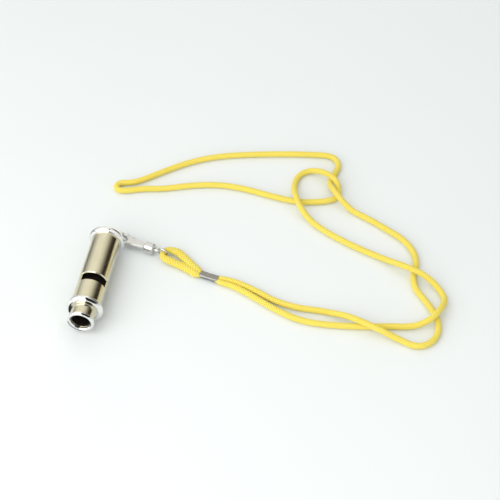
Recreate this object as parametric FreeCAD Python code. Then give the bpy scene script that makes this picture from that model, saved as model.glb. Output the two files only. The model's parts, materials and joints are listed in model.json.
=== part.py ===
import FreeCAD, Part
import math
import os
from FreeCAD import Vector

# Tube whistle with two sound chambers, on a round cord lanyard with a trigger snap.
# Millimetres. +Z is up and z = 0 is the table. The whistle lies on its two collars with its axis along Y,
# mouth towards -Y. The origin is on the table, under the middle of the whistle with its bail ring.

# ---- whistle: radii ----
BARREL_R = 9.5
BARREL_WALL = 0.8
COLLAR_R = 11.75
BEAD_R = 2.2
MOUTH_TUBE_R = 7.8
MOUTH_BORE_R = 6.05
LIP_R = 8.65
LIP_BEAD_R = 1.3

# ---- whistle: distances from the mouth rim, along the axis ----
LIP_SEAT = 2.2
COLLAR_AT = 11.6
BARREL_START = 11.2
FLANGE_END = 12.4
BLOCK_START = 14.8
WINDOW_NEAR = 27.8
WINDOW_FAR = 33.9
TOP_STOP_AT = 57.0
BOTTOM_STOP_AT = 65.0
PARTITION_END = 68.3
CAP_PLUG_AT = 69.6
CAP_COLLAR_AT = 70.3
BARREL_END = 71.5
CAP_FLANGE_END = 72.4
CAP_APEX = 73.5
STUD_HOLE_AT = 75.9

# ---- whistle: inner parts ----
WINDOW_CHORD = 4.0
WINDWAY_FLOOR = 6.9
BLOCK_BEVEL = 2.0
PARTITION_T = 0.8
STOP_T = 1.5
CHAMBER_FIT = 0.05
ROLL = 17.0

# ---- loop stud and bail ring ----
STUD_HEAD_R = 2.4
STUD_T = 2.0
RIVET_T = 1.0
STUD_HOLE_R = 0.95
SHANK_R = 1.3
RING_R = 6.0
RING_WIRE_R = 0.7
RING_LEAN = 30.0

# ---- trigger snap, in its own frame: l along it from the bow, w across it, t up ----
CLIP_AT = Vector(0.7, 40.2, 4.0)
CLIP_YAW = -15.0
CLAW_R = 4.7
CLAW_T = 2.6
CLAW_EDGE_R = 0.8
OPENING_R = 2.3
OPENING_END = 11.3
SHANK_INSET = 0.5
SHANK_END = 24.0
SHANK_END_W = 2.2
SHANK_T = 3.6
SHANK_EDGE_R = 0.5
BASE_R = 3.8
BASE_END = 30.6
BASE_EDGE_R = 0.9
SLOT_T = 1.9
SLOT_FLOOR = -0.4
SLOT_END = 17.6
PIN_L = 14.2
PIN_W = 2.2
PIN_R = 0.6
PIN_CLEARANCE = 0.05

# ---- gate lever and its spring, in the snap's frame ----
HOOK_TIP = 6.1
GATE_TIP = 6.4
GATE_END = 9.8
GATE_LOW = 2.4
GATE_HIGH = 4.2
GATE_T = 2.2
THUMB_L = 8.9
THUMB_R = 1.0
WEB_START = 9.6
WEB_LOW = 1.2
WEB_HIGH = 3.7
KNUCKLE_R = 1.5
KNUCKLE_T = 1.7
TAIL_LENGTH = 1.4
TAIL_HIGH = 3.4
SPRING_FOOT = 12.6
SPRING_BEND = 16.9
SPRING_TIP = 12.2
SPRING_TIP_W = 1.1
SPRING_T = 0.2
SPRING_W = 1.3
SPRING_CLEARANCE = 0.05

# ---- swivel eye ----
POST_R = 1.1
POST_CLEARANCE = 0.08
HEAD_CLEARANCE = 0.15
HEAD_R = 2.0
HEAD_START = 25.6
HEAD_END = 27.0
EYE_AT = 36.8
EYE_R = 3.05
EYE_WIRE_R = 0.75

# ---- lanyard ----
CORD_R = 2.1
CORD_Z = 2.15
OVER_Z = 10.5
LOW_OVER_Z = 8.4
EYE_Z = 4.0
CRIMP_START = Vector(63.7, 18.2, CORD_Z)
CRIMP_YAW = -13.0
CRIMP_L = 12.4
CRIMP_W = 5.2
CRIMP_H = 3.0
CRIMP_WALL = 0.5
CRIMP_EDGE_R = 1.3

# Worked out from the above.
RING_REACH = 2 * RING_R * math.sin(math.radians(RING_LEAN)) + RING_WIRE_R
MOUTH_Y = -(STUD_HOLE_AT + RING_REACH) / 2
AXIS_Z = COLLAR_R
BARREL_BORE_R = BARREL_R - BARREL_WALL
X_AXIS = Vector(1, 0, 0)
Y_AXIS = Vector(0, 1, 0)
Z_AXIS = Vector(0, 0, 1)

parts = {}


def on_axis(distance):
    """Point of the whistle's axis at a distance from the mouth rim."""
    return Vector(0, MOUTH_Y + distance, AXIS_Z)


def rod(radius, start, end):
    """Cylinder on the whistle's axis between two distances from the mouth rim."""
    return Part.makeCylinder(radius, end - start, on_axis(start), Y_AXIS)


def tube(outer, inner, start, end):
    return rod(outer, start, end).cut(rod(inner, start - 1, end + 1))


def slab(start, end, half_width, low, high):
    """Box across the whistle: low and high are heights above its axis."""
    corner = on_axis(start) + Vector(-half_width, 0, low)
    return Part.makeBox(2 * half_width, end - start, high - low, corner)


def bead(ring_radius, bead_radius, distance):
    return Part.makeTorus(ring_radius, bead_radius, on_axis(distance), Y_AXIS)


def rolled(shape):
    """The windows and the inner parts are rolled about the whistle's axis."""
    turned = shape.copy()
    turned.rotate(on_axis(0), Y_AXIS, ROLL)
    return turned


def make_barrel():
    body = tube(BARREL_R, BARREL_BORE_R, BARREL_START, BARREL_END)
    top = slab(WINDOW_NEAR, WINDOW_FAR, BARREL_R + 1, WINDOW_CHORD, BARREL_R + 1)
    bottom = slab(WINDOW_NEAR, WINDOW_FAR, BARREL_R + 1, -BARREL_R - 1, -WINDOW_CHORD)
    parts["barrel"] = rolled(body.cut(top).cut(bottom))


def make_mouthpiece():
    # The mouth tube ends in a flange that the mouth collar traps against the barrel.
    neck = rod(MOUTH_TUBE_R, LIP_SEAT, FLANGE_END)
    flange = rod(BARREL_BORE_R, BARREL_START, FLANGE_END)
    bore = rod(MOUTH_BORE_R, 0, FLANGE_END + 1)
    parts["mouth_tube"] = neck.fuse(flange).cut(bore).removeSplitter()

    lip = bead(LIP_R - LIP_BEAD_R, LIP_BEAD_R, LIP_BEAD_R)
    seat = rod(MOUTH_TUBE_R, LIP_SEAT, LIP_SEAT + 2)
    parts["lip_ring"] = lip.cut(seat)

    web = tube(BARREL_R, MOUTH_TUBE_R, COLLAR_AT - BEAD_R + 0.4, BARREL_START)
    collar = bead(COLLAR_R - BEAD_R, BEAD_R, COLLAR_AT).fuse(web)
    inside = rod(BARREL_R, BARREL_START, COLLAR_AT + BEAD_R + 1)
    neck_hole = rod(MOUTH_TUBE_R, 0, COLLAR_AT + BEAD_R + 1)
    parts["mouth_collar"] = collar.cut(inside).cut(neck_hole)


def make_windway_blocks():
    # Each block fills half of the barrel up to its windway floor, with a bevelled inlet edge.
    for name, side in (("top", 1), ("bottom", -1)):
        low, high = sorted((0, side * WINDWAY_FLOOR))
        block = rod(BARREL_BORE_R, BLOCK_START, WINDOW_NEAR)
        block = block.common(slab(BLOCK_START, WINDOW_NEAR, BARREL_R, low, high))
        at = on_axis(BLOCK_START)
        corner = [
            at + Vector(-BARREL_R, 0, side * WINDWAY_FLOOR),
            at + Vector(-BARREL_R, BLOCK_BEVEL, side * WINDWAY_FLOOR),
            at + Vector(-BARREL_R, 0, side * (WINDWAY_FLOOR - BLOCK_BEVEL)),
        ]
        bevel = Part.Face(Part.makePolygon(corner + corner[:1])).extrude(Vector(2 * BARREL_R, 0, 0))
        parts["windway_block_" + name] = rolled(block.cut(bevel))


def make_chambers():
    # A plate splits the bore into two chambers, each closed by a stop at its own length.
    inside = rod(BARREL_BORE_R - CHAMBER_FIT, WINDOW_NEAR, CAP_PLUG_AT)
    half_t = PARTITION_T / 2
    partition = inside.common(slab(WINDOW_NEAR, PARTITION_END, BARREL_R, -half_t, half_t))
    parts["chamber_partition"] = rolled(partition)
    for name, at, low, high in (
        ("top", TOP_STOP_AT, half_t, BARREL_R),
        ("bottom", BOTTOM_STOP_AT, -BARREL_R, -half_t),
    ):
        stop = inside.common(slab(at, at + STOP_T, BARREL_R, low, high))
        parts["chamber_stop_" + name] = rolled(stop)


def make_cap():
    plug = rod(BARREL_BORE_R, CAP_PLUG_AT, BARREL_END)
    flange = rod(BARREL_R, BARREL_END, CAP_FLANGE_END)
    rise = CAP_APEX - CAP_FLANGE_END
    base_r = BARREL_BORE_R
    ball_r = (base_r ** 2 + rise ** 2) / (2 * rise)
    ball = Part.makeSphere(ball_r, on_axis(CAP_APEX - ball_r))
    dome = ball.common(rod(base_r, BARREL_END, CAP_APEX + 1))
    hole = rod(SHANK_R, 0, CAP_APEX + 1)
    parts["end_cap"] = plug.fuse([flange, dome]).cut(hole).removeSplitter()

    collar = bead(COLLAR_R - BEAD_R, BEAD_R, CAP_COLLAR_AT)
    parts["cap_collar"] = collar.cut(rod(BARREL_R, 0, CAP_APEX + 5))

    shank = rod(SHANK_R, CAP_PLUG_AT, STUD_HOLE_AT - STUD_HOLE_R - 0.3)
    rivet = rod(STUD_HEAD_R, CAP_PLUG_AT - RIVET_T, CAP_PLUG_AT)
    hole_at = on_axis(STUD_HOLE_AT)
    half = X_AXIS * (STUD_T / 2)
    head = Part.makeCylinder(STUD_HEAD_R, STUD_T, hole_at - half, X_AXIS)
    stud = shank.fuse([rivet, head]).cut(parts["end_cap"])
    eye = Part.makeCylinder(STUD_HOLE_R, 2 * STUD_T, hole_at - half * 2, X_AXIS)
    parts["loop_stud"] = stud.cut(eye)


def make_bail_ring():
    lean = math.radians(RING_LEAN)
    down = Vector(0, math.sin(lean), -math.cos(lean))
    normal = Vector(0, math.cos(lean), math.sin(lean))
    centre = on_axis(STUD_HOLE_AT) + down * RING_R
    parts["bail_ring"] = Part.makeTorus(RING_R, RING_WIRE_R, centre, normal)


def place_clip(shape):
    placed = shape.copy()
    placed.rotate(Vector(0, 0, 0), Z_AXIS, CLIP_YAW)
    placed.translate(CLIP_AT)
    return placed


def block(l_low, l_high, w_low, w_high, thick):
    return Part.makeBox(l_high - l_low, w_high - w_low, thick, Vector(l_low, w_low, -thick / 2))


def disc(l_at, w_at, radius, thick):
    return Part.makeCylinder(radius, thick, Vector(l_at, w_at, -thick / 2), Z_AXIS)


def plate(corners, thick):
    """Flat plate from the corners (l, w) of its outline."""
    points = [Vector(l, w, -thick / 2) for l, w in corners]
    return Part.Face(Part.makePolygon(points + points[:1])).extrude(Vector(0, 0, thick))


def rim_edges(shape):
    """Edges that lie in the top or the bottom face of a plate."""
    faces = [face for face in shape.Faces if abs(face.normalAt(0, 0).z) > 0.999]
    return [edge for face in faces for edge in face.Edges]


def make_clip_body():
    # The claw's straight sides leave its round bow at a tangent.
    reach = math.hypot(SHANK_END - CLAW_R, SHANK_END_W)
    angle = math.atan2(SHANK_END_W, SHANK_END - CLAW_R) + math.acos(CLAW_R / reach)
    bow_l = CLAW_R + CLAW_R * math.cos(angle)
    bow_w = CLAW_R * math.sin(angle)
    sides = plate(
        [
            (bow_l, -bow_w),
            (SHANK_END, -SHANK_END_W),
            (SHANK_END, SHANK_END_W),
            (bow_l, bow_w),
        ],
        CLAW_T,
    )
    claw = disc(CLAW_R, 0, CLAW_R, CLAW_T).fuse(sides)
    opening = disc(CLAW_R, 0, OPENING_R, CLAW_T)
    opening = opening.fuse(disc(OPENING_END - OPENING_R, 0, OPENING_R, CLAW_T))
    opening = opening.fuse(block(CLAW_R, OPENING_END - OPENING_R, -OPENING_R, OPENING_R, CLAW_T))
    gate_gap = block(HOOK_TIP, OPENING_END, 0, CLAW_R + 1, CLAW_T)
    claw = claw.cut(opening).cut(gate_gap).removeSplitter()
    claw = claw.makeFillet(CLAW_EDGE_R, rim_edges(claw))

    slope = (CLAW_R - SHANK_END_W) / (SHANK_END - CLAW_R)
    end_w = SHANK_END_W - SHANK_INSET / 2
    start_w = CLAW_R - slope * (OPENING_END - CLAW_R) - SHANK_INSET
    shank = plate(
        [
            (OPENING_END, -start_w),
            (SHANK_END, -end_w),
            (SHANK_END, end_w),
            (OPENING_END, start_w),
        ],
        SHANK_T,
    )
    shank = shank.makeFillet(SHANK_EDGE_R, rim_edges(shank))
    base = Part.makeCylinder(BASE_R, BASE_END - SHANK_END, Vector(SHANK_END, 0, 0), X_AXIS)
    rims = [edge for edge in base.Edges if isinstance(edge.Curve, Part.Circle)]
    base = base.makeFillet(BASE_EDGE_R, rims)
    body = claw.fuse([shank, base])

    slot = block(OPENING_END - 1, SLOT_END, SLOT_FLOOR, CLAW_R + 1, SLOT_T)
    pin_hole = disc(PIN_L, PIN_W, PIN_R, 2 * SHANK_T)
    socket_r = HEAD_R + HEAD_CLEARANCE
    socket_at = HEAD_START - HEAD_CLEARANCE
    socket_end = HEAD_END + HEAD_CLEARANCE
    socket = Part.makeCylinder(socket_r, socket_end - socket_at, Vector(socket_at, 0, 0), X_AXIS)
    throat_r = POST_R + POST_CLEARANCE
    throat = Part.makeCylinder(throat_r, BASE_END, Vector(HEAD_END, 0, 0), X_AXIS)
    body = body.cut(slot).cut(pin_hole).cut(socket).cut(throat)
    parts["clip_body"] = place_clip(body)


def make_gate_lever():
    arm = block(GATE_TIP, GATE_END, GATE_LOW, GATE_HIGH, GATE_T)
    thumb = disc(THUMB_L, GATE_HIGH, THUMB_R, GATE_T)
    arm = arm.fuse(thumb).removeSplitter()
    web = block(WEB_START, PIN_L, WEB_LOW, WEB_HIGH, KNUCKLE_T)
    knuckle = disc(PIN_L, PIN_W, KNUCKLE_R, KNUCKLE_T)
    tail = block(PIN_L, PIN_L + TAIL_LENGTH, PIN_W, TAIL_HIGH, KNUCKLE_T)
    lever = arm.fuse([web, knuckle, tail]).removeSplitter()
    hole = disc(PIN_L, PIN_W, PIN_R + PIN_CLEARANCE, 2 * SHANK_T)
    parts["gate_lever"] = place_clip(lever.cut(hole))
    parts["lever_pin"] = place_clip(disc(PIN_L, PIN_W, PIN_R, SHANK_T))


def make_lever_spring():
    # A bent leaf: one leg on the slot's floor, the other under the lever.
    floor = SLOT_FLOOR + SPRING_CLEARANCE
    leaf = plate(
        [
            (SPRING_FOOT, floor),
            (SPRING_BEND, floor),
            (SPRING_BEND + SPRING_T, floor + SPRING_T),
            (SPRING_TIP, SPRING_TIP_W),
            (SPRING_TIP, SPRING_TIP_W - SPRING_T),
            (SPRING_BEND - 2 * SPRING_T, floor + SPRING_T),
            (SPRING_FOOT, floor + SPRING_T),
        ],
        SPRING_W,
    )
    parts["lever_spring"] = place_clip(leaf)


def make_swivel_eye():
    head = Part.makeCylinder(HEAD_R, HEAD_END - HEAD_START, Vector(HEAD_START, 0, 0), X_AXIS)
    post_end = EYE_AT - EYE_R
    post = Part.makeCylinder(POST_R, post_end - HEAD_END, Vector(HEAD_END, 0, 0), X_AXIS)
    eye = Part.makeTorus(EYE_R, EYE_WIRE_R, Vector(EYE_AT, 0, 0), Y_AXIS)
    parts["swivel_eye"] = place_clip(head.fuse([post, eye]))


def crimp_point(along, across):
    yaw = math.radians(CRIMP_YAW)
    forward = Vector(math.cos(yaw), math.sin(yaw), 0)
    left = Vector(-math.sin(yaw), math.cos(yaw), 0)
    return CRIMP_START + forward * along + left * across


def crimp_bar(width, height, fillet):
    bar = Part.makeBox(CRIMP_L, width, height, Vector(0, -width / 2, -height / 2))
    long_edges = [edge for edge in bar.Edges if abs(edge.Length - CRIMP_L) < 0.001]
    bar = bar.makeFillet(fillet, long_edges)
    bar.rotate(Vector(0, 0, 0), Z_AXIS, CRIMP_YAW)
    bar.translate(CRIMP_START)
    return bar


def make_crimp():
    outside = crimp_bar(CRIMP_W, CRIMP_H, CRIMP_EDGE_R)
    inner_r = CRIMP_EDGE_R - CRIMP_WALL
    inside = crimp_bar(CRIMP_W - 2 * CRIMP_WALL, CRIMP_H - 2 * CRIMP_WALL, inner_r)
    parts["crimp"] = outside.cut(inside)
    parts["crimped_cord"] = inside


def swept_cord(name, route, radius):
    """Tube along straight runs joined by tangent arcs, each as large as its two runs allow."""
    points = [Vector(*point) for point in route]
    edges = []
    radii = []
    length = 0.0
    last = points[0]
    for before, corner, after in zip(points, points[1:], points[2:]):
        into = corner - before
        out = after - corner
        reach = 0.45 * min(into.Length, out.Length)
        turn = into.getAngle(out)
        radii.append(reach / math.tan(turn / 2))
        start = corner - into.normalize() * reach
        end = corner + out.normalize() * reach
        inward = (out - into).normalize()
        middle = corner + inward * (radii[-1] / math.cos(turn / 2) - radii[-1])
        edges.append(Part.LineSegment(last, start).toShape())
        edges.append(Part.Arc(start, middle, end).toShape())
        length += last.distanceToPoint(start) + radii[-1] * turn
        last = end
    edges.append(Part.LineSegment(last, points[-1]).toShape())
    length += last.distanceToPoint(points[-1])
    path = Part.Wire(edges)
    section = Part.Wire(Part.makeCircle(radius, points[0], points[1] - points[0]))
    solid = path.makePipeShell([section], True, False)
    expected = math.pi * radius ** 2 * length
    print(name, "length", round(length, 1), "volume / expected", round(solid.Volume / expected, 4))
    print("  radii:", " ".join(str(round(r, 1)) for r in radii))
    # The cord ends flush against the crimp that holds it.
    parts[name] = solid.cut(crimp_bar(CRIMP_W, CRIMP_H, CRIMP_EDGE_R))


# The eye loop, from the crimp's far strand, through the swivel eye and back.
EYE_LOOP = [
    tuple(crimp_point(0, CORD_R + 0.05)),
    (58.0, 24.3, CORD_Z),
    (52.2, 30.0, CORD_Z),
    (45.9, 35.4, CORD_Z + 0.5),
    (37.7, 34.9, EYE_Z),
    (35.3, 26.8, EYE_Z),
    (43.4, 24.0, CORD_Z + 0.5),
    (50.6, 21.8, CORD_Z),
    (57.4, 18.9, CORD_Z),
    tuple(crimp_point(0, -CORD_R - 0.05)),
]

# The neck loop, from the crimp's far strand all the way round to its near strand.
NECK_LOOP = [
    tuple(crimp_point(CRIMP_L, CORD_R + 0.05)),
    (84.8, 16.2, CORD_Z),
    (93.2, 13.9, CORD_Z),
    (104.0, 9.4, CORD_Z),
    (116.0, 3.6, CORD_Z),
    (130.5, 0.6, CORD_Z),
    (142.0, 1.4, CORD_Z),
    (152.0, 0.2, CORD_Z),
    (163.5, -5.0, OVER_Z),
    (180.0, -11.2, OVER_Z),
    (194.0, -14.4, CORD_Z),
    (207.5, -19.6, CORD_Z),
    (217.2, -12.0, CORD_Z),
    (219.2, -0.5, CORD_Z),
    (215.4, 9.5, CORD_Z),
    (209.0, 19.0, CORD_Z),
    (201.5, 28.0, CORD_Z),
    (199.2, 38.0, CORD_Z),
    (201.2, 48.5, CORD_Z),
    (198.6, 59.5, CORD_Z),
    (191.0, 69.5, CORD_Z),
    (178.5, 77.2, CORD_Z),
    (166.0, 84.6, CORD_Z),
    (154.0, 90.2, CORD_Z),
    (146.2, 95.0, LOW_OVER_Z),
    (139.2, 104.8, LOW_OVER_Z),
    (135.6, 113.8, CORD_Z),
    (139.0, 124.6, CORD_Z),
    (140.6, 133.5, CORD_Z),
    (135.0, 141.4, CORD_Z),
    (120.0, 140.4, CORD_Z),
    (102.0, 138.0, CORD_Z),
    (78.0, 133.6, CORD_Z),
    (55.0, 127.8, CORD_Z),
    (37.0, 119.0, CORD_Z),
    (22.0, 107.8, CORD_Z),
    (9.5, 97.6, CORD_Z),
    (0.4, 93.2, CORD_Z),
    (-7.8, 90.6, CORD_Z),
    (-6.6, 82.8, CORD_Z),
    (1.6, 83.6, CORD_Z),
    (11.0, 88.0, CORD_Z),
    (24.0, 90.0, CORD_Z),
    (41.0, 96.2, CORD_Z),
    (60.0, 100.4, CORD_Z),
    (79.0, 99.4, CORD_Z),
    (98.0, 95.2, CORD_Z),
    (116.0, 92.4, CORD_Z),
    (131.0, 94.8, CORD_Z),
    (142.0, 99.0, CORD_Z),
    (143.8, 106.6, CORD_Z),
    (140.4, 114.4, LOW_OVER_Z),
    (131.4, 120.2, LOW_OVER_Z),
    (121.6, 124.8, CORD_Z),
    (113.8, 118.6, CORD_Z),
    (112.2, 108.5, CORD_Z),
    (113.6, 98.0, LOW_OVER_Z),
    (118.6, 85.6, LOW_OVER_Z),
    (127.6, 76.0, CORD_Z),
    (142.0, 66.4, CORD_Z),
    (160.0, 57.6, CORD_Z),
    (179.0, 50.4, CORD_Z),
    (193.4, 42.6, OVER_Z),
    (207.0, 37.2, OVER_Z),
    (216.6, 31.0, CORD_Z),
    (221.4, 22.0, CORD_Z),
    (219.4, 11.6, OVER_Z),
    (213.2, 0.4, OVER_Z),
    (202.6, -3.6, CORD_Z),
    (188.5, -5.2, CORD_Z),
    (171.0, -8.6, CORD_Z),
    (151.0, -10.2, CORD_Z),
    (133.0, -10.4, CORD_Z),
    (118.0, -4.8, CORD_Z),
    (103.5, 2.2, CORD_Z),
    (92.0, 6.4, CORD_Z),
    (83.6, 9.2, CORD_Z),
    tuple(crimp_point(CRIMP_L, -CORD_R - 0.05)),
]

make_barrel()
make_mouthpiece()
make_windway_blocks()
make_chambers()
make_cap()
make_bail_ring()
make_clip_body()
make_gate_lever()
make_lever_spring()
make_swivel_eye()
make_crimp()
swept_cord("eye_loop_cord", EYE_LOOP, CORD_R)
swept_cord("neck_cord", NECK_LOOP, CORD_R)

os.makedirs("parts", exist_ok=True)
for name, shape in parts.items():
    print(name, "valid", shape.isValid(), "solids", len(shape.Solids), "volume", round(shape.Volume, 1))
    shape.exportStep("parts/" + name + ".step")
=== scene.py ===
import json
import math

import bmesh
import bpy
import numpy as np
from mathutils import Vector

# Tube whistle on a yellow knitted lanyard, lying on a pale table.
# Metres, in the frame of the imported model: +Y along the whistle from its mouth to its end cap, +Z up.
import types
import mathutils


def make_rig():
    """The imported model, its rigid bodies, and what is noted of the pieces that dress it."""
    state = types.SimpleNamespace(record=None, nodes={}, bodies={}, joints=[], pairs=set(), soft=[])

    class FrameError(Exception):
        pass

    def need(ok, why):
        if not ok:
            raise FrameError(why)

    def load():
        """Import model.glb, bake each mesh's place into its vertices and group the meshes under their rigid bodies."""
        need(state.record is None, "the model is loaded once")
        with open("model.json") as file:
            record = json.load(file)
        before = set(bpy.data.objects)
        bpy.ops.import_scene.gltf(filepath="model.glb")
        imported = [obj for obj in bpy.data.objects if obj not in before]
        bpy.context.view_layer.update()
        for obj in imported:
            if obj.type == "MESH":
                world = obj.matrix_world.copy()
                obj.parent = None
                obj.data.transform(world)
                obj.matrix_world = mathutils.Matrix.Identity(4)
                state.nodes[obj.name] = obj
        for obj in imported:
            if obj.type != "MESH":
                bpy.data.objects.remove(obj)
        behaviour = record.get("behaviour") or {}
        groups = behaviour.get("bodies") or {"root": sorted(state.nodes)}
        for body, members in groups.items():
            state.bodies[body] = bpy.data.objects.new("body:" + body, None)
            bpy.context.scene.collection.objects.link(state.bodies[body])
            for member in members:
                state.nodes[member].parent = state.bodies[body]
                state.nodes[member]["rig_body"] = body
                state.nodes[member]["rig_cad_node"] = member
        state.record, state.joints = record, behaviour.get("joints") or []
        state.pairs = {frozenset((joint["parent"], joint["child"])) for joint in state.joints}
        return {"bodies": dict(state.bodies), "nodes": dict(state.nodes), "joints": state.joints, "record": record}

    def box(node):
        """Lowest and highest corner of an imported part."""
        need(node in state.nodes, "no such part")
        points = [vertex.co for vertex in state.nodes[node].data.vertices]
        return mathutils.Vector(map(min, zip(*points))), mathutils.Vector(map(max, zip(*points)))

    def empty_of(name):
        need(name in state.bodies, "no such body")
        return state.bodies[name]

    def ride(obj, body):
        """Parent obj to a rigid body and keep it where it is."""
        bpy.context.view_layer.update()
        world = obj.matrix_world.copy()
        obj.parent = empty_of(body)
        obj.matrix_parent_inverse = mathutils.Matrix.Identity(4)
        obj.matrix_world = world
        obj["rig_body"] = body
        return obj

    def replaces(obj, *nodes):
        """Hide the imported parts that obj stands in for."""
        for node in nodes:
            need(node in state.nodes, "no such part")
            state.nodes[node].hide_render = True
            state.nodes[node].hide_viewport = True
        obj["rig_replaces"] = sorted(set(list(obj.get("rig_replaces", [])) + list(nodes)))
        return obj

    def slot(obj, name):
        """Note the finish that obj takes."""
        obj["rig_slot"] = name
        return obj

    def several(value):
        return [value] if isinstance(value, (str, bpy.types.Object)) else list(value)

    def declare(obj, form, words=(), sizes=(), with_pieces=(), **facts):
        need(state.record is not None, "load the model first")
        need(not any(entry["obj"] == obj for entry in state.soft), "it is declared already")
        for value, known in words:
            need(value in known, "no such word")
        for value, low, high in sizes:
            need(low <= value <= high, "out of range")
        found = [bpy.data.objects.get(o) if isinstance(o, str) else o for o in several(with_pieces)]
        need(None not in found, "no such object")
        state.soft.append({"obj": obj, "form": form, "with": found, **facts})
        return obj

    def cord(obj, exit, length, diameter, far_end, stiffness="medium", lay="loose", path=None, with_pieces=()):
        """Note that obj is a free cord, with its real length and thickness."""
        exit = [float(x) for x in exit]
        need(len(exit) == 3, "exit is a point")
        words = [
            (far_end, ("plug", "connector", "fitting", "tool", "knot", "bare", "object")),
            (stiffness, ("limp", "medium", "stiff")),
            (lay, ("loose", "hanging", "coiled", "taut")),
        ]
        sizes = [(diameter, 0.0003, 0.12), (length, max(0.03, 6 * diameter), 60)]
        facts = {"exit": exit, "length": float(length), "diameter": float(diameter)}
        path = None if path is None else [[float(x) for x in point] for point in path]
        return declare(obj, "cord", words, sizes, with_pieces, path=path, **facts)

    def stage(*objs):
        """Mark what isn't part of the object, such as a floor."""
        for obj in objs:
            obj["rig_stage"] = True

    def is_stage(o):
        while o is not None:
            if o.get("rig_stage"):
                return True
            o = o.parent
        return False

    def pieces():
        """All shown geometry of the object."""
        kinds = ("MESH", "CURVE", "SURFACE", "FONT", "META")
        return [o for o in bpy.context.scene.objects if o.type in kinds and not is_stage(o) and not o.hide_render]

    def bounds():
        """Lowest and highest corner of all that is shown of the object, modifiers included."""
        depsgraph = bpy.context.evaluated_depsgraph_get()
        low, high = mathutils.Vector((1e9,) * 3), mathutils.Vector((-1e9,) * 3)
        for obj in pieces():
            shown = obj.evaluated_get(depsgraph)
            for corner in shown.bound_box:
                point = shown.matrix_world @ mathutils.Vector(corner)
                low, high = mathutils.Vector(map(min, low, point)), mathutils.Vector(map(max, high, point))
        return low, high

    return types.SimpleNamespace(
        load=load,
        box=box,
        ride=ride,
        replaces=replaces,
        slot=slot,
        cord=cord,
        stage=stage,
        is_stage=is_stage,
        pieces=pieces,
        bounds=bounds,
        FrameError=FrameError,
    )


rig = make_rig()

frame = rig.load()
cad_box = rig.bounds()
MM = 0.001
TAU = 2 * math.pi

# ---- the whistle's axis, read from the frame ----
collar_low, collar_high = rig.box("mouth_collar")
AXIS_Z = (collar_low.z + collar_high.z) / 2
MOUTH_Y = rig.box("lip_ring")[0].y

# ---- whistle, in millimetres ----
BARREL_R = 9.5
BORE_R = 8.7
NECK_R = 7.8
MOUTH_BORE_R = 6.05
LIP_BEAD_R = 1.3
BEAD_R = 2.2
WINDOW_NEAR = 27.8
WINDOW_FAR = 33.9
WINDOW_CHORD = 4.0
LIP_SLOPE = 0.5
ROLL = math.radians(17.0)
CAP_HOLE_R = 1.3
CAP_RISE = 1.1
CAP_FLANGE = 0.9

# ---- cord, in millimetres ----
CORD_R = 2.1
CORD_Z = 2.15
OVER_Z = 6.4
EYE_Z = 4.0
STITCHES_ROUND = 6
STITCH_LENGTH = 2.0
KNIT_DEPTH = 0.32
NECK_STEP, NECK_SIDES = 0.4, 36
EYE_STEP, EYE_SIDES = 0.3, 40

# ---- crimp, in millimetres ----
CRIMP_YAW = math.radians(-13.0)
CRIMP_L = 12.4
CRIMP_W = 5.2
CRIMP_H = 3.0
CRIMP_EDGE_R = 1.3
CRIMP_SHEET = 0.45
CRIMP_PRESSED = 0.16
CRIMP_SEAM = 0.12
CRIMP_STATIONS = 25

# The cord's route points, in millimetres. Both loops start and end inside the crimp. Where a strand passes over
# another it rises to OVER_Z, and where the short loop goes through the swivel's eye it rises to EYE_Z.
EYE_LOOP = [
    (65.20, 19.05, CORD_Z),
    (62.20, 20.30, CORD_Z),
    (57.7, 23.6, CORD_Z),
    (51.9, 29.0, CORD_Z),
    (45.6, 34.3, CORD_Z + 0.5),
    (37.9, 34.4, EYE_Z),
    (35.7, 27.2, EYE_Z),
    (43.7, 24.9, CORD_Z + 0.5),
    (50.8, 22.8, CORD_Z),
    (57.4, 19.7, CORD_Z),
    (61.60, 17.10, CORD_Z),
    (64.80, 16.75, CORD_Z),
]

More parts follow.
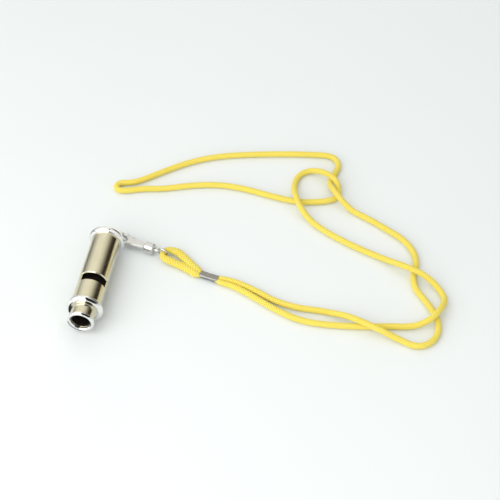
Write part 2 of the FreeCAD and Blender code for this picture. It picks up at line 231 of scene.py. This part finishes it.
NECK_LOOP = [
    (74.90, 16.60, CORD_Z),
    (78.10, 16.40, CORD_Z),
    (84.8, 15.6, CORD_Z),
    (93.0, 13.2, CORD_Z),
    (103.5, 8.7, CORD_Z),
    (115.5, 2.9, CORD_Z),
    (130.0, 0.1, CORD_Z),
    (142.0, 0.2, CORD_Z),
    (152.0, -0.4, CORD_Z),
    (163.5, -5.0, OVER_Z),
    (180.0, -11.2, OVER_Z),
    (194.0, -14.4, CORD_Z),
    (207.5, -19.6, CORD_Z),
    (217.2, -12.0, CORD_Z),
    (219.2, -0.5, CORD_Z),
    (215.4, 9.5, CORD_Z),
    (209.0, 19.0, CORD_Z),
    (201.5, 28.0, CORD_Z),
    (199.2, 38.0, CORD_Z),
    (201.2, 48.5, CORD_Z),
    (198.6, 59.5, CORD_Z),
    (191.0, 69.5, CORD_Z),
    (178.5, 77.2, CORD_Z),
    (166.0, 84.6, CORD_Z),
    (154.0, 90.2, CORD_Z),
    (146.2, 95.0, OVER_Z),
    (139.2, 104.8, OVER_Z),
    (135.6, 113.8, CORD_Z),
    (139.0, 124.6, CORD_Z),
    (140.6, 133.5, CORD_Z),
    (135.0, 141.4, CORD_Z),
    (120.0, 140.4, CORD_Z),
    (102.0, 138.0, CORD_Z),
    (78.0, 133.6, CORD_Z),
    (55.0, 127.8, CORD_Z),
    (37.0, 119.0, CORD_Z),
    (22.0, 107.8, CORD_Z),
    (9.5, 97.4, CORD_Z),
    (1.6, 92.3, CORD_Z),
    (-6.2, 91.4, CORD_Z),
    (-8.8, 87.4, CORD_Z),
    (-6.2, 83.4, CORD_Z),
    (1.2, 84.7, CORD_Z),
    (11.0, 88.2, CORD_Z),
    (24.0, 90.0, CORD_Z),
    (41.0, 96.2, CORD_Z),
    (60.0, 100.4, CORD_Z),
    (79.0, 99.4, CORD_Z),
    (98.0, 95.2, CORD_Z),
    (116.0, 92.4, CORD_Z),
    (131.0, 94.8, CORD_Z),
    (142.0, 99.0, CORD_Z),
    (143.8, 106.6, CORD_Z),
    (140.4, 114.4, OVER_Z),
    (131.4, 120.2, OVER_Z),
    (121.6, 124.8, CORD_Z),
    (113.8, 118.6, CORD_Z),
    (112.2, 108.5, CORD_Z),
    (113.6, 98.0, OVER_Z),
    (118.6, 85.6, OVER_Z),
    (127.6, 76.0, CORD_Z),
    (142.0, 66.4, CORD_Z),
    (160.0, 57.6, CORD_Z),
    (179.0, 50.4, CORD_Z),
    (193.4, 42.6, OVER_Z),
    (207.0, 37.2, OVER_Z),
    (216.6, 31.0, CORD_Z),
    (221.4, 22.0, CORD_Z),
    (219.4, 11.6, OVER_Z),
    (213.2, 0.4, OVER_Z),
    (202.6, -3.6, CORD_Z),
    (188.5, -5.2, CORD_Z),
    (171.0, -8.6, CORD_Z),
    (151.0, -10.4, CORD_Z),
    (134.0, -10.2, CORD_Z),
    (119.0, -5.0, CORD_Z),
    (104.5, 2.6, CORD_Z),
    (94.0, 8.0, CORD_Z),
    (86.5, 11.2, CORD_Z),
    (80.5, 12.5, CORD_Z),
    (77.60, 13.15, CORD_Z),
    (74.40, 14.30, CORD_Z),
]


# ---------------------------------------------------------------- materials


class Nodes:
    """Short calls for building the node tree of a material or of the world."""

    def __init__(self, owner):
        owner.use_nodes = True
        self.owner = owner
        self.tree = owner.node_tree

    def add(self, kind, inputs=None, **settings):
        node = self.tree.nodes.new(kind)
        for key, value in settings.items():
            setattr(node, key, value)
        for key, value in (inputs or {}).items():
            self.put(node.inputs[key], value)
        return node

    def put(self, socket, value):
        if isinstance(value, bpy.types.NodeSocket):
            self.tree.links.new(value, socket)
        else:
            socket.default_value = value

    def math(self, operation, a, b=0.0):
        return self.add("ShaderNodeMath", {0: a, 1: b}, operation=operation).outputs[0]

    def ramp(self, factor, stops):
        node = self.add("ShaderNodeValToRGB", {"Fac": factor})
        elements = node.color_ramp.elements
        while len(elements) < len(stops):
            elements.new(0.5)
        for element, (at, colour) in zip(elements, stops):
            element.position = at
            element.color = (*colour, 1)
        return node.outputs["Color"]

    def span(self, factor, low, high, start=0.0, end=1.0):
        """Maps start..end to low..high."""
        limits = {"Value": factor, "From Min": start, "From Max": end, "To Min": low, "To Max": high}
        return self.add("ShaderNodeMapRange", limits).outputs["Result"]

    def noise(self, vector, scale, detail=3.0, roughness=0.55):
        inputs = {"Vector": vector, "Scale": scale, "Detail": detail, "Roughness": roughness}
        return self.add("ShaderNodeTexNoise", inputs).outputs["Fac"]

    def stretched(self, factors):
        """Object coordinates, stretched along each axis."""
        at = self.add("ShaderNodeTexCoord").outputs["Object"]
        return self.add("ShaderNodeMapping", {"Vector": at, "Scale": factors}).outputs["Vector"]

    def bump(self, height, strength, distance):
        inputs = {"Height": height, "Strength": strength, "Distance": distance}
        return self.add("ShaderNodeBump", inputs).outputs["Normal"]

    def finish(self, **inputs):
        shader = self.tree.nodes["Principled BSDF"]
        for key, value in inputs.items():
            self.put(shader.inputs[key.replace("_", " ")], value)
        return self.owner


def material_nodes(name):
    return Nodes(bpy.data.materials.new(name))


def scaled(tint, factor):
    return tuple(factor * c for c in tint)


def satin_nickel():
    """Warm nickel plate with fine turning lines round the barrel and faint handling marks."""
    n = material_nodes("satin_nickel")
    lines = n.noise(n.stretched((40, 9000, 40)), 1.0, 2.0)
    cloud = n.noise(n.stretched((120, 60, 120)), 1.0, 4.0)
    colour = n.ramp(cloud, [(0.3, (0.66, 0.62, 0.46)), (0.7, (0.73, 0.69, 0.53))])
    rough = n.math("ADD", n.span(cloud, 0.12, 0.20), n.span(lines, -0.03, 0.05))
    normal = n.bump(lines, 0.12, 0.00002)
    return n.finish(Base_Color=colour, Metallic=1.0, Roughness=rough, Normal=normal)


def polished(name, tint, low, high):
    """Bright plate: smears change its gloss, and tiny pits break its reflections."""
    n = material_nodes(name)
    smear = n.noise(n.stretched((260, 180, 260)), 1.0, 5.0)
    pits = n.noise(n.stretched((2600, 2600, 2600)), 1.0, 2.0)
    colour = n.ramp(smear, [(0.35, scaled(tint, 0.93)), (0.65, tint)])
    rough = n.span(smear, low, high)
    normal = n.bump(pits, 0.05, 0.00001)
    return n.finish(Base_Color=colour, Metallic=1.0, Roughness=rough, Normal=normal)


def shade_darkened_brass(name, tint):
    """Dull brass painted near black as painted shade deep inside the whistle, with coarse tool lines and stains."""
    n = material_nodes(name)
    lines = n.noise(n.stretched((30, 5000, 30)), 1.0, 2.0)
    stain = n.noise(n.stretched((300, 300, 300)), 1.0, 5.0)
    colour = n.ramp(stain, [(0.35, scaled(tint, 0.4)), (0.7, tint)])
    rough = n.span(stain, 0.5, 0.75)
    normal = n.bump(lines, 0.2, 0.00003)
    return n.finish(Base_Color=colour, Specular_IOR_Level=0.15, Roughness=rough, Normal=normal)


def brushed(name, tint):
    """Thin pressed sheet, brushed along its length."""
    n = material_nodes(name)
    brush = n.noise(n.stretched((500, 6000, 6000)), 1.0, 3.0)
    cloud = n.noise(n.stretched((300, 300, 300)), 1.0, 4.0)
    colour = n.ramp(cloud, [(0.3, scaled(tint, 0.8)), (0.7, tint)])
    rough = n.math("ADD", n.span(brush, 0.14, 0.28), n.span(cloud, -0.02, 0.05))
    normal = n.bump(brush, 0.2, 0.00002)
    return n.finish(Base_Color=colour, Metallic=1.0, Roughness=rough, Normal=normal)


def knitted_yellow():
    """Knitted cord: bright stitches with painted shade in ochre in the creases between them, and fine fibres across
    each stitch.
    """
    n = material_nodes("knitted_yellow")
    uv = n.add("ShaderNodeUVMap", uv_map="cord").outputs["UV"]
    parts = n.add("ShaderNodeSeparateXYZ", {"Vector": uv}).outputs
    turn = n.math("MULTIPLY", parts["X"], TAU * STITCHES_ROUND)
    run = n.math("MULTIPLY", parts["Y"], TAU)
    one = n.math("COSINE", n.math("ADD", turn, run))
    two = n.math("COSINE", n.math("SUBTRACT", turn, run))
    stitch = n.span(n.math("ADD", one, two), 0.0, 1.0, -2.0, 2.0)
    fibre_map = n.add("ShaderNodeMapping", {"Vector": uv, "Scale": (70, 9, 1), "Rotation": (0, 0, 0.5)})
    fibre = n.noise(fibre_map.outputs["Vector"], 2.0, 3.0)
    patch = n.noise(n.stretched((60, 60, 60)), 1.0, 3.0)
    # The colour follows the stitch relief: ochre in the creases is painted shade, pale yellow on the stitch tops.
    shade = n.math("ADD", n.math("MULTIPLY", stitch, 0.75), n.math("MULTIPLY", fibre, 0.3))
    stops = [(0.12, (0.70, 0.40, 0.012)), (0.42, (0.79, 0.62, 0.042)), (0.78, (0.82, 0.76, 0.20))]
    tone = n.span(patch, 0.95, 1.05)
    hue = n.add("ShaderNodeHueSaturation", {"Color": n.ramp(shade, stops), "Value": tone})
    height = n.math("ADD", stitch, n.math("MULTIPLY", fibre, 0.6))
    return n.finish(
        Base_Color=hue.outputs["Color"],
        Roughness=n.span(fibre, 0.65, 0.9),
        Normal=n.bump(height, 0.6, 0.00018),
        Sheen_Weight=0.15,
        Subsurface_Weight=0.2,
        Subsurface_Radius=(0.0010, 0.0008, 0.0001),
        Subsurface_Scale=1.0,
    )


def pale_table():
    n = material_nodes("pale_table")
    cloud = n.noise(n.stretched((3, 3, 3)), 1.0, 2.0)
    colour = n.ramp(cloud, [(0.3, (0.76, 0.795, 0.80)), (0.7, (0.78, 0.815, 0.82))])
    return n.finish(Base_Color=colour, Roughness=n.span(cloud, 0.5, 0.6))


MATERIALS = {
    "satin_nickel": satin_nickel(),
    "chrome_plate": polished("chrome_plate", (0.88, 0.88, 0.87), 0.03, 0.08),
    # The windway blocks and stops inside take near-black tints: painted shade for the dark inside of the whistle.
    "block_brass": shade_darkened_brass("block_brass", (0.025, 0.020, 0.015)),
    "inner_brass": shade_darkened_brass("inner_brass", (0.03, 0.024, 0.018)),
    "ring_steel": polished("ring_steel", (0.80, 0.80, 0.80), 0.06, 0.14),
    "clip_chrome": polished("clip_chrome", (0.66, 0.66, 0.65), 0.12, 0.22),
    "pin_steel": brushed("pin_steel", (0.46, 0.46, 0.47)),
    "crimp_metal": brushed("crimp_metal", (0.31, 0.30, 0.28)),
    "cord_yellow": knitted_yellow(),
}
# Near-black material for the bores: painted shade for the dark inside of the tubes.
BORE_PAINTED_SHADE = shade_darkened_brass("bore_painted_shade", (0.022, 0.018, 0.014))


def finish_piece(obj, slot, body=None, nodes=()):
    """Gives a piece its material and, if it is new, its body and the CAD nodes that it stands for."""
    obj.data.materials.clear()
    obj.data.materials.append(MATERIALS[slot])
    if body:
        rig.replaces(obj, *nodes)
        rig.ride(obj, body)
        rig.slot(obj, slot)
    return obj


# ---------------------------------------------------------------- camera and light

VIEW_AZIMUTH = math.radians(9.35)
VIEW_ELEVATION = math.radians(47.9)
VIEW_DISTANCE = 0.850
VIEW_LENS = 92.8
VIEW_TARGET = Vector((0.0917, 0.0458, 0.0))

# Colours of the room by how far the direction looked in leans from straight up: degrees, positive to the right.
BACK_WALL = [
    (-90, (0.44, 0.44, 0.43)),
    (-66, (0.71, 0.70, 0.67)),
    (-45, (1.05, 1.04, 0.97)),
    (-8, (1.12, 1.10, 1.02)),
    (6, (1.02, 1.00, 0.92)),
    (19, (0.86, 0.84, 0.76)),
    (29, (0.68, 0.66, 0.59)),
    (38, (0.46, 0.44, 0.38)),
    (46, (0.28, 0.26, 0.22)),
    (55, (0.13, 0.11, 0.09)),
    (65, (0.04, 0.03, 0.02)),
    (83, (0.02, 0.015, 0.01)),
    (88, (0.10, 0.07, 0.04)),
    (90, (0.20, 0.15, 0.10)),
]
FRONT_WALL = [
    (-90, (0.75, 0.77, 0.77)),
    (-60, (1.02, 1.03, 1.03)),
    (7, (1.04, 1.05, 1.05)),
    (8.5, (0.03, 0.03, 0.04)),
    (14, (0.03, 0.03, 0.04)),
    (16, (1.02, 1.02, 1.02)),
    (60, (0.98, 0.98, 0.98)),
    (90, (0.70, 0.70, 0.69)),
]
BACK_STARTS = 0.30
BACK_FULL = 0.42
ROOM_STRENGTH = 1.0
SOFTBOX_POWER = 4.8


def make_camera():
    camera = bpy.data.objects.new("camera", bpy.data.cameras.new("camera"))
    bpy.context.scene.collection.objects.link(camera)
    level = math.cos(VIEW_ELEVATION)
    away = Vector((math.sin(VIEW_AZIMUTH) * level, -math.cos(VIEW_AZIMUTH) * level, math.sin(VIEW_ELEVATION)))
    camera.location = VIEW_TARGET + away * VIEW_DISTANCE
    camera.rotation_euler = (-away).to_track_quat("-Z", "Y").to_euler()
    camera.data.lens = VIEW_LENS
    camera.data.clip_start = 0.01
    bpy.context.scene.camera = camera


def area_light(name, size, at, power, colour=(1, 1, 1), target=(0.05, 0.03, 0)):
    light = bpy.data.lights.new(name, "AREA")
    light.shape = "RECTANGLE"
    light.size, light.size_y = size
    light.energy = power
    light.color = colour
    lamp = bpy.data.objects.new(name, light)
    bpy.context.scene.collection.objects.link(lamp)
    lamp.location = at
    lamp.rotation_euler = (Vector(target) - Vector(at)).to_track_quat("-Z", "Y").to_euler()


def plain_object(name, points, faces):
    mesh = bpy.data.meshes.new(name)
    mesh.from_pydata(points, [], faces)
    obj = bpy.data.objects.new(name, mesh)
    bpy.context.scene.collection.objects.link(obj)
    return obj


def shade_smooth(mesh):
    mesh.polygons.foreach_set("use_smooth", [True] * len(mesh.polygons))


def dark_card(name, corners, shade=0.01):
    """A card near the whistle that only the reflections see. Its corners are in millimetres."""
    obj = plain_object(name, [scaled(corner, MM) for corner in corners], [(0, 1, 2, 3)])
    n = material_nodes(name)
    obj.data.materials.append(n.finish(Base_Color=(shade, shade, shade, 1), Roughness=1.0))
    obj.visible_camera = False
    obj.visible_diffuse = False
    obj.visible_shadow = False
    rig.stage(obj)


def make_cards():
    """Cards round the whistle: a dark one above the front marks the bright beads, a dark one on the table under the
    mouth is a painted shadow seen in the lip's reflection, and a grey one dims the barrel's left edge.
    """
    dark_card("left_card", [(-50, 24, 0), (-50, 62, 0), (-50, 62, 27), (-50, 24, 27)], 0.4)
    dark_card("over_card", [(2, -110, 50.5), (2, -25, 50.5), (36, -25, 26), (36, -110, 26)])
    # Painted shadow: a dark patch on the table under the mouth, seen only in the lip's reflection.
    dark_card("painted_shadow_card", [(-16, -48, 0.2), (-1, -48, 0.2), (-1, -33, 0.2), (-16, -33, 0.2)])


def make_world():
    """A pale room with a dark opening high along the right of its back half."""
    world = bpy.data.worlds.new("studio")
    bpy.context.scene.world = world
    n = Nodes(world)
    ahead = n.add("ShaderNodeTexCoord").outputs["Generated"]
    parts = n.add("ShaderNodeSeparateXYZ", {"Vector": ahead}).outputs
    lean = n.span(n.math("ARCTAN2", parts["X"], parts["Z"]), 0.0, 1.0, -math.pi / 2, math.pi / 2)
    back = n.ramp(lean, [((degrees + 90) / 180, colour) for degrees, colour in BACK_WALL])
    front = n.ramp(lean, [((degrees + 90) / 180, colour) for degrees, colour in FRONT_WALL])
    depth = n.span(parts["Y"], 0.0, 1.0, BACK_STARTS, BACK_FULL)
    room = n.add("ShaderNodeMix", {"Factor": depth}, data_type="RGBA")
    # This node has one pair of sockets for each data type: 6 and 7 are its colours, and 2 the result.
    n.put(room.inputs[6], front)
    n.put(room.inputs[7], back)
    background = n.tree.nodes["Background"]
    n.put(background.inputs["Color"], room.outputs[2])
    n.put(background.inputs["Strength"], ROOM_STRENGTH)


def make_studio():
    floor = plain_object("table", [(-3, -3, 0), (3, -3, 0), (3, 3, 0), (-3, 3, 0)], [(0, 1, 2, 3)])
    floor.data.materials.append(pale_table())
    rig.stage(floor)
    area_light("front_softbox", (1.0, 1.0), (-0.30, -0.50, 0.52), SOFTBOX_POWER, (1.0, 0.99, 0.97))
    make_cards()
    make_world()
    bpy.context.scene.view_settings.view_transform = "Standard"


make_camera()
make_studio()


# ---------------------------------------------------------------- cord


def smooth_line(route):
    """Points of the smooth NURBS line that has the route as its control points, in millimetres."""
    curve = bpy.data.curves.new("route", "CURVE")
    curve.dimensions = "3D"
    spline = curve.splines.new("NURBS")
    spline.points.add(len(route) - 1)
    for point, (x, y, z) in zip(spline.points, route):
        point.co = (x, y, z, 1)
    spline.order_u = 3
    spline.use_endpoint_u = True
    spline.resolution_u = 24
    obj = bpy.data.objects.new("route", curve)
    bpy.context.scene.collection.objects.link(obj)
    mesh = bpy.data.meshes.new_from_object(obj)
    line = np.array([vertex.co[:] for vertex in mesh.vertices])
    bpy.data.objects.remove(obj)
    return line


def evenly(line, step):
    """The same line with its points a step apart, and the distance along it of each."""
    along = np.concatenate([[0], np.cumsum(np.linalg.norm(np.diff(line, axis=0), axis=1))])
    count = int(along[-1] / step) + 1
    marks = np.linspace(0, along[-1], count)
    return np.stack([np.interp(marks, along, line[:, axis]) for axis in range(3)], axis=1), marks


def side_vectors(line):
    """Two unit vectors across the line at each point. The first stays level."""
    ahead = np.gradient(line, axis=0)
    ahead /= np.linalg.norm(ahead, axis=1)[:, None]
    level = np.cross(ahead, (0.0, 0.0, 1.0))
    level /= np.linalg.norm(level, axis=1)[:, None]
    return level, np.cross(level, ahead)


def eased(values, start, end):
    """0 at the start, 1 at the end, with a smooth rise between them."""
    t = np.clip((values - start) / (end - start), 0, 1)
    return t * t * (3 - 2 * t)


def distance_from_crimp(marks):
    """Both ends of a loop are in the crimp, so this is the distance to the nearer end."""
    return np.minimum(marks, marks[-1] - marks)


def neck_section(marks):
    """Half width and half height of the neck cord, in parts of its radius. It is squeezed by the crimp."""
    from_end = distance_from_crimp(marks)
    free = eased(from_end, 0.8, 3.6)
    round_again = eased(from_end, 3.6, 22.0)
    return 0.62 + 0.26 * free + 0.12 * round_again, 0.55 + 0.38 * free + 0.07 * round_again


def eye_section(marks):
    """The short loop is flattened by its bend, and squeezed thin where it passes the eye."""
    free = eased(distance_from_crimp(marks), 0.6, 5.0)
    from_eye = np.abs(marks - marks[-1] / 2)
    loose = eased(from_eye, 1.5, 10.0)
    return 0.72 + free * (0.23 + 0.46 * loose), 0.55 + free * (0.30 + 0.12 * loose)


def tube_faces(rows, around):
    """Quads between the rings of a tube, and a cap on each of its ends."""
    index = np.arange(rows * around).reshape(rows, around)
    right = np.roll(index, -1, axis=1)
    quads = np.stack([index[:-1], index[1:], right[1:], right[:-1]], axis=-1).reshape(-1, 4)
    return quads.tolist() + [index[0].tolist(), index[-1][::-1].tolist()]


def map_tube(mesh, marks, around):
    """A map that counts turns round the cord in U and stitches along it in V."""
    uv = mesh.uv_layers.new(name="cord")
    low, column = np.meshgrid(np.arange(len(marks) - 1), np.arange(around), indexing="ij")
    u = np.stack([column, column, column + 1, column + 1], axis=-1) / around
    v = marks[np.stack([low, low + 1, low + 1, low], axis=-1)] / STITCH_LENGTH
    corners = np.zeros((len(mesh.loops), 2))
    corners[: u.size] = np.stack([u.ravel(), v.ravel()], axis=1)
    uv.data.foreach_set("uv", corners.ravel())


def knitted_tube(name, route, section, step, around):
    """Tube of knitted cord along a route: rows of staggered stitches stand out of its surface.

    Its rings are a step apart and have as many points as around says. Returns the tube, its line and its length.
    """
    line, marks = evenly(smooth_line(route), step)
    level, upward = side_vectors(line)
    angle = np.linspace(0, TAU, around, endpoint=False)
    turn, run = np.meshgrid(STITCHES_ROUND * angle, TAU * marks / STITCH_LENGTH)
    stitch = 0.25 * (2 + np.cos(turn + run) + np.cos(turn - run))
    radius = CORD_R - KNIT_DEPTH + KNIT_DEPTH * stitch
    wide, high = section(marks)
    across = wide[:, None, None] * np.cos(angle)[None, :, None] * level[:, None, :]
    up = high[:, None, None] * np.sin(angle)[None, :, None] * upward[:, None, :]
    points = (line[:, None, :] + radius[:, :, None] * (across + up)) * MM

    obj = plain_object(name, points.reshape(-1, 3).tolist(), tube_faces(len(line), around))
    shade_smooth(obj.data)
    map_tube(obj.data, marks, around)
    return obj, line * MM, marks[-1] * MM


def make_cords():
    neck, neck_line, neck_length = knitted_tube("neck_cord_knit", NECK_LOOP, neck_section, NECK_STEP, NECK_SIDES)
    finish_piece(neck, "cord_yellow", "lanyard", ["neck_cord"])
    loop, loop_line, loop_length = knitted_tube("eye_loop_knit", EYE_LOOP, eye_section, EYE_STEP, EYE_SIDES)
    finish_piece(loop, "cord_yellow", "lanyard", ["eye_loop_cord"])
    common = {"diameter": 2 * CORD_R * MM, "far_end": "object", "stiffness": "limp", "lay": "loose"}
    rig.cord(loop, exit=loop_line[0], length=loop_length, path=loop_line, with_pieces=["swivel_eye"], **common)
    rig.cord(neck, exit=neck_line[0], length=neck_length, path=neck_line, with_pieces=["crimp_sleeve"], **common)


# ---------------------------------------------------------------- turned metal

ROUND_STEPS = 144
WORN_EDGE = 0.08 * MM
SHARP_ANGLE = math.radians(40)


def round_point(s, r, angle):
    """Point s millimetres from the mouth rim and r from the axis, at an angle from the top of the whistle."""
    return (r * MM * math.sin(angle), MOUTH_Y + s * MM, AXIS_Z + r * MM * math.cos(angle))


def distance_from_mouth(y):
    return (y - MOUTH_Y) / MM


def reach(node):
    """A round node's start and end along the axis, and its largest radius, in millimetres."""
    low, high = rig.box(node)
    return distance_from_mouth(low.y), distance_from_mouth(high.y), (high.z - low.z) / 2 / MM


def arc(s, r, radius, start, end, steps):
    """Points of a profile's arc. Angles are in degrees: 0 is towards the cap, 90 away from the axis."""
    marks = [math.radians(start + (end - start) * k / steps) for k in range(steps + 1)]
    return [(s + radius * math.cos(a), r + radius * math.sin(a)) for a in marks]


def solid_piece(name, points, faces, worn=WORN_EDGE):
    """Smooth-shaded closed mesh whose sharp edges are slightly rounded."""
    obj = plain_object(name, points, faces)
    mesh = obj.data
    bm = bmesh.new()
    bm.from_mesh(mesh)
    bmesh.ops.recalc_face_normals(bm, faces=bm.faces)
    bm.to_mesh(mesh)
    bm.free()
    shade_smooth(mesh)
    mesh.set_sharp_from_angle(angle=SHARP_ANGLE)
    bevel = obj.modifiers.new("worn_edges", "BEVEL")
    bevel.width = worn
    bevel.segments = 2
    bevel.limit_method = "ANGLE"
    bevel.angle_limit = SHARP_ANGLE
    bevel.harden_normals = True
    return obj


def lathe(name, profile, worn=WORN_EDGE):
    """Ring turned from a closed profile of (s, r) points."""
    count = len(profile)
    points = []
    faces = []
    for step in range(ROUND_STEPS):
        angle = TAU * step / ROUND_STEPS
        points += [round_point(s, r, angle) for s, r in profile]
        here = step * count
        there = (step + 1) % ROUND_STEPS * count
        for k in range(count):
            after = (k + 1) % count
            faces.append((here + k, here + after, there + after, there + k))
    return solid_piece(name, points, faces, worn)


def paint_bore_shade(obj, radius):
    """Faces nearer the whistle's axis than a radius in millimetres are painted near black as the shade inside its
    bore.
    """
    obj.data.materials.append(BORE_PAINTED_SHADE)
    for face in obj.data.polygons:
        out = math.hypot(face.center.x, face.center.z - AXIS_Z) / MM
        if out < radius:
            face.material_index = 1


def make_mouthpiece():
    lip_r = reach("lip_ring")[2]
    profile = arc(LIP_BEAD_R, lip_r - LIP_BEAD_R, LIP_BEAD_R, 40, 360, 40)
    finish_piece(lathe("lip_bead", profile), "chrome_plate", "whistle", ["lip_ring"])

    # The neck is waisted a little between the lip and the collar.
    start, end, flange_r = reach("mouth_tube")
    waist = NECK_R - 0.08
    profile = [(start, MOUTH_BORE_R), (start, NECK_R), (start + 0.5, NECK_R), (start + 2.0, waist)]
    profile += [(end - 3.6, waist), (end - 3.0, NECK_R), (end - 1.2, NECK_R), (end - 1.2, flange_r)]
    profile += [(end, flange_r), (end, MOUTH_BORE_R), (end - 4.0, MOUTH_BORE_R), (start + 2.0, MOUTH_BORE_R)]
    neck = lathe("mouth_neck", profile, WORN_EDGE / 2)
    finish_piece(neck, "satin_nickel", "whistle", ["mouth_tube"])
    paint_bore_shade(neck, MOUTH_BORE_R + 0.3)


def make_collars():
    # This bead goes from the barrel's surface over the top and round its front to a web on the neck.
    start, _, outer = reach("mouth_collar")
    at = start + BEAD_R
    web_start, web_end = at - 1.8, at - 0.4
    profile = arc(at, outer - BEAD_R, BEAD_R, -1.3, 215, 56)
    profile += [(web_start, NECK_R), (web_end, NECK_R), (web_end, BARREL_R)]
    collar = lathe("mouth_bead", profile, WORN_EDGE / 2)
    finish_piece(collar, "chrome_plate", "whistle", ["mouth_collar"])

    # This bead is a half round, flat on the barrel.
    start, end, outer = reach("cap_collar")
    profile = arc((start + end) / 2, outer - BEAD_R, BEAD_R, -1.3, 181.3, 56)
    collar = lathe("cap_bead", profile, WORN_EDGE / 2)
    finish_piece(collar, "chrome_plate", "whistle", ["cap_collar"])


def make_end_cap():
    start, apex, flange_r = reach("end_cap")
    base = apex - CAP_RISE
    under = base - CAP_FLANGE
    ball_r = (BORE_R ** 2 + CAP_RISE ** 2) / (2 * CAP_RISE)
    profile = [(start, CAP_HOLE_R), (start, BORE_R), (under, BORE_R), (under, flange_r), (base, flange_r)]
    for k in range(13):
        r = BORE_R + (CAP_HOLE_R - BORE_R) * k / 12
        profile.append((apex - ball_r + math.sqrt(ball_r ** 2 - r ** 2), r))
    finish_piece(lathe("domed_cap", profile), "satin_nickel", "whistle", ["end_cap"])


def make_barrel():
    """Tube with two windows cut square across it, opposite each other, each with a bevelled far lip."""
    start, end, outer = reach("barrel")
    half_outer = math.acos(WINDOW_CHORD / BARREL_R)
    half_inner = math.acos(WINDOW_CHORD / BORE_R)
    over_window, beside_window = 44, 20
    half_turn = over_window + beside_window
    columns = 2 * half_turn

    def angles(half):
        marks = []
        for side in (0, math.pi):
            marks += [side - half + 2 * half * k / over_window for k in range(over_window)]
            marks += [side + half + (math.pi - 2 * half) * k / beside_window for k in range(beside_window)]
        return [ROLL + a for a in marks]

    # The same rows on both walls, apart from the slope of the windows' far lips. Extra rows keep the shading even.
    rows = [start, start + 2, WINDOW_NEAR - 4, WINDOW_NEAR, WINDOW_FAR, WINDOW_FAR + 6, end - 14, end - 2, end]
    gap = rows.index(WINDOW_NEAR)
    points = []
    for r, half, slope in ((BARREL_R, half_outer, LIP_SLOPE), (BORE_R, half_inner, 0)):
        for row, s in enumerate(rows):
            s += slope if row == gap + 1 else 0
            points += [round_point(s, r, a) for a in angles(half)]

    def at(wall, row, column):
        return (wall * len(rows) + row) * columns + column % columns

    def is_open(column):
        return column % half_turn < over_window

    faces = []
    for row in range(len(rows) - 1):
        for column in range(columns):
            if row == gap and is_open(column):
                continue
            for wall in (0, 1):
                near, far = (wall, row), (wall, row + 1)
                faces.append((at(*near, column), at(*near, column + 1), at(*far, column + 1), at(*far, column)))
    for column in range(columns):
        rims = [0, len(rows) - 1]
        if is_open(column):
            rims += [gap, gap + 1]
        for row in rims:
            faces.append((at(0, row, column), at(0, row, column + 1), at(1, row, column + 1), at(1, row, column)))
        if is_open(column) != is_open(column - 1):
            faces.append((at(0, gap, column), at(0, gap + 1, column), at(1, gap + 1, column), at(1, gap, column)))
    barrel = solid_piece("barrel_tube", points, faces, WORN_EDGE / 2)
    finish_piece(barrel, "satin_nickel", "whistle", ["barrel"])
    paint_bore_shade(barrel, BORE_R + 0.2)


make_mouthpiece()
make_collars()
make_end_cap()
make_barrel()


# ---------------------------------------------------------------- crimp


def rounded_section(width, height, radius, steps):
    """Outline of a rounded bar, from the seam under its middle all the way round."""
    outline = [(0.0, -height / 2)]
    corners = ((1, -1, -90), (1, 1, 0), (-1, 1, 90), (-1, -1, 180))
    for x_side, z_side, first in corners:
        for k in range(steps + 1):
            turn = math.radians(first + 90 * k / steps)
            x = x_side * (width / 2 - radius) + radius * math.cos(turn)
            z = z_side * (height / 2 - radius) + radius * math.sin(turn)
            outline.append((x, z))
    outline.append((0.0, -height / 2))
    return outline


def make_crimp():
    """Strip of sheet rolled round both strands and pressed flat, with a narrow seam underneath."""
    low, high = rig.box("crimp")
    middle = (low + high) / 2
    forward = Vector((math.cos(CRIMP_YAW), math.sin(CRIMP_YAW), 0))
    left = Vector((-math.sin(CRIMP_YAW), math.cos(CRIMP_YAW), 0))
    points = []
    for k in range(CRIMP_STATIONS):
        along = k / (CRIMP_STATIONS - 1)
        # The press leaves the middle slightly thinner than the flared ends.
        pressed = CRIMP_PRESSED * math.sin(math.pi * along) ** 0.7
        for inset in (0, CRIMP_SHEET):
            width = CRIMP_W - 0.5 * pressed - 2 * inset
            height = CRIMP_H - 2 * pressed - 2 * inset
            outline = rounded_section(width, height, CRIMP_EDGE_R - inset, 6)
            outline[0] = (CRIMP_SEAM / 2, outline[0][1])
            outline[-1] = (-CRIMP_SEAM / 2, outline[-1][1])
            for w, t in outline:
                at = middle + forward * (along - 0.5) * CRIMP_L * MM + left * w * MM
                points.append((at.x, at.y, at.z + t * MM))
    count = len(outline)

    def at(station, wall, k):
        return (2 * station + wall) * count + k

    faces = []
    for station in range(CRIMP_STATIONS - 1):
        for k in range(count - 1):
            for wall in (0, 1):
                here, there = (station, wall), (station + 1, wall)
                faces.append((at(*here, k), at(*here, k + 1), at(*there, k + 1), at(*there, k)))
        for k in (0, count - 1):
            faces.append((at(station, 0, k), at(station, 1, k), at(station + 1, 1, k), at(station + 1, 0, k)))
    for station in (0, CRIMP_STATIONS - 1):
        for k in range(count - 1):
            faces.append((at(station, 0, k), at(station, 0, k + 1), at(station, 1, k + 1), at(station, 1, k)))
    finish_piece(solid_piece("crimp_sleeve", points, faces), "crimp_metal", "lanyard", ["crimp"])


make_crimp()
make_cords()


# ---------------------------------------------------------------- parts kept from the frame

REPLACED = {"barrel", "mouth_tube", "lip_ring", "mouth_collar", "cap_collar", "end_cap", "crimp"}
REPLACED |= {"neck_cord", "eye_loop_cord"}

for entry in frame["record"]["subparts"]:
    if entry["node"] not in REPLACED:
        finish_piece(frame["nodes"][entry["node"]], entry["material_slot"])

with open("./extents.json", "w") as out:
    json.dump({"cad": [list(c) for c in cad_box], "visual": [list(c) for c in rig.bounds()]}, out)
